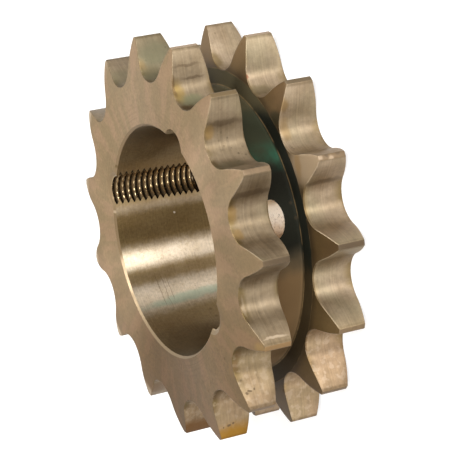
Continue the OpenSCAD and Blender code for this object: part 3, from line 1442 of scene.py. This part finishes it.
    def build(self) -> bpy.types.Object:
        """Make the body's mesh and dress it.

        Returns:
            The body's object.
        """
        rear_low, rear_high = self._row(0.0, worn=True)
        front_low, front_high = self._row(self.row_pitch, worn=False)
        self._groove(rear_high, front_low)
        bottom, top = self._bore()
        self._close_face(rear_low, bottom, 0.0)
        self._close_face(front_high, top, self.top)
        mesh = bpy.data.meshes.new("sprocket_body")
        mesh.from_pydata([tuple(c * MM for c in p) for p in self.skin.points], [], self.skin.faces)
        mesh.polygons.foreach_set("material_index", self.skin.zones)
        for zone in Zone:
            mesh.materials.append(FINISHES[zone].build())
        bm = bmesh.new()
        bm.from_mesh(mesh)
        bmesh.ops.recalc_face_normals(bm, faces=bm.faces)
        bm.to_mesh(mesh)
        bm.free()
        body = add_object("sprocket_body", mesh)
        self._open_window(body)
        for polygon in body.data.polygons:
            polygon.use_smooth = True
        body.data.set_sharp_from_angle(angle=self.sharp_from)
        LOG.info("sprocket body: %d faces", len(body.data.polygons))
        return body

    def _open_window(self, body: bpy.types.Object) -> None:
        """Cut the opening and keep the result as the body's own mesh.

        Args:
            body: the object to cut.
        """
        cutter = self._cutter()
        for material in body.data.materials:
            cutter.data.materials.append(material)
        cut = body.modifiers.new("opening", "BOOLEAN")
        cut.operation = "DIFFERENCE"
        cut.solver = "EXACT"
        cut.object = cutter
        bpy.context.view_layer.update()
        graph = bpy.context.evaluated_depsgraph_get()
        result = bpy.data.meshes.new_from_object(body.evaluated_get(graph))
        body.modifiers.clear()
        old = body.data
        body.data = result
        bpy.data.meshes.remove(old)
        result.name = "sprocket_body"
        bpy.data.objects.remove(cutter)


@dataclass(frozen=True)
class SoftBox:
    """One soft lamp, by its direction from the object."""

    name: str
    low: tuple[float, float]
    high: tuple[float, float]
    width: float
    glow: float
    distance: float = 0.8
    colour: Colour = (0.97, 0.985, 1.0)

    def ends(self) -> tuple[Vector, Vector]:
        """Both ends of the strip, the low one first."""
        return self._place(*self.low), self._place(*self.high)

    def _place(self, azimuth: float, elevation: float) -> Vector:
        """Point at the lamp's distance, by degrees from +X and degrees above the floor."""
        a, e = math.radians(azimuth), math.radians(elevation)
        return Vector((math.cos(a) * math.cos(e), math.sin(a) * math.cos(e), math.sin(e))) * self.distance


@dataclass
class Studio:
    """Floor, world, lamps and the camera at the photograph's angle."""

    target: Point = (0.0, 0.0, 0.015)
    lens: float = 167.233
    sensor: float = 36.0
    place: Point = (0.474527, 0.040601, 0.233299)
    right: Point = (0.429060, -0.167039, -0.887697)
    up: Point = (0.001425, 0.982877, -0.184259)
    back: Point = (0.903274, 0.077793, 0.421952)
    sky_light: Colour = (0.42, 0.36, 0.285)
    floor_half: float = 6.0
    floor_tone: Colour = (0.35, 0.34, 0.33)
    floor_bounce: Colour = (0.27, 0.205, 0.135)
    glow_near: float = 0.78
    glow_fade: tuple[float, float] = (250.0, 900.0)
    boxes: tuple[SoftBox, ...] = (
        SoftBox("strip_key", (16.5, 6.0), (21.0, 60.0), 0.19, 16.5),
        SoftBox("strip_high", (63.0, 42.0), (97.0, 64.0), 0.15, 28.0),
        SoftBox("strip_low", (-40.0, 30.0), (-57.0, 57.0), 0.12, 12.7),
        SoftBox("low_fill", (-38.0, 3.0), (-38.0, 17.0), 0.65, 4.4),
    )

    def build(self) -> None:
        """Make everything around the object."""
        self._camera()
        self._world()
        self._floor()
        for box in self.boxes:
            self._lamp(box)

    def _camera(self) -> None:
        """Place the camera at the photograph's angle."""
        data = bpy.data.cameras.new("camera")
        data.lens = self.lens
        data.sensor_width = self.sensor
        data.sensor_fit = "AUTO"
        data.clip_start = 0.01
        data.clip_end = 50.0
        camera = add_object("camera", data)
        turn = Matrix((self.right, self.up, self.back)).transposed().to_4x4()
        camera.matrix_world = Matrix.Translation(Vector(self.place)) @ turn
        bpy.context.scene.camera = camera

    def _world(self) -> None:
        """White world for the camera and reflections, softer for the light it gives."""
        world = bpy.data.worlds.new("studio")
        bpy.context.scene.world = world
        world.use_nodes = True
        g = Graph(world.node_tree)
        colour = g.mix(g.in_view(), self.sky_light, WHITE)
        shade = g.node("ShaderNodeBackground", None, {"Color": colour, "Strength": 1.0})
        g.node("ShaderNodeOutputWorld", None, {"Surface": shade})

    def _floor(self) -> None:
        """White floor that keeps a light shadow, and that throws a weak brown light up at the steel."""
        bm = bmesh.new()
        bmesh.ops.create_grid(bm, x_segments=1, y_segments=1, size=self.floor_half)
        mesh = bpy.data.meshes.new("floor")
        bm.to_mesh(mesh)
        bm.free()
        floor = add_object("floor", mesh)
        material = bpy.data.materials.new("pale_floor")
        material.use_nodes = True
        g = Graph(material.node_tree)
        seen = g.in_view()
        tone = g.mix(seen, self.floor_bounce, self.floor_tone)
        paint = g.node("ShaderNodeBsdfDiffuse", None, {"Color": tone})
        far = g.radius().step(*self.glow_fade)
        shown = seen * (far * (1.0 - self.glow_near) + self.glow_near)
        lit = g.mix(shown, BLACK, WHITE)
        glow = g.node("ShaderNodeEmission", None, {"Color": lit, "Strength": 1.0})
        both = g.node("ShaderNodeAddShader", None, [paint, glow])
        g.node("ShaderNodeOutputMaterial", None, {"Surface": both})
        floor.data.materials.append(material)

    def _lamp(self, box: SoftBox) -> None:
        """Make a long area lamp that faces the object.

        Args:
            box: its ends, width and strength.
        """
        low, high = box.ends()
        middle = (low + high) / 2
        back = (middle - Vector(self.target)).normalized()
        across = (high - low).normalized().cross(back).normalized()
        data = bpy.data.lights.new(box.name, "AREA")
        data.shape = "RECTANGLE"
        data.size = box.width
        data.size_y = (high - low).length
        data.energy = box.glow * math.pi * data.size * data.size_y
        data.color = box.colour
        lamp = add_object(box.name, data)
        turn = Matrix((across, back.cross(across), back)).transposed().to_4x4()
        lamp.matrix_world = Matrix.Translation(middle) @ turn


def corners(box: object) -> list[list[float]]:
    """A box's two corners as plain lists."""
    return [[float(c) for c in corner] for corner in box]


def main() -> None:
    """Build the scene."""
    logging.basicConfig(level=logging.INFO, format="%(name)s: %(message)s")
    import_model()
    view = bpy.context.scene.view_settings
    view.view_transform = "Standard"
    Studio().build()
    body = SprocketBody().build()
    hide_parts("sprocket")
    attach(body, "root")
    LOG.info("sprocket body rides on root")


if __name__ == "__main__":
    main()
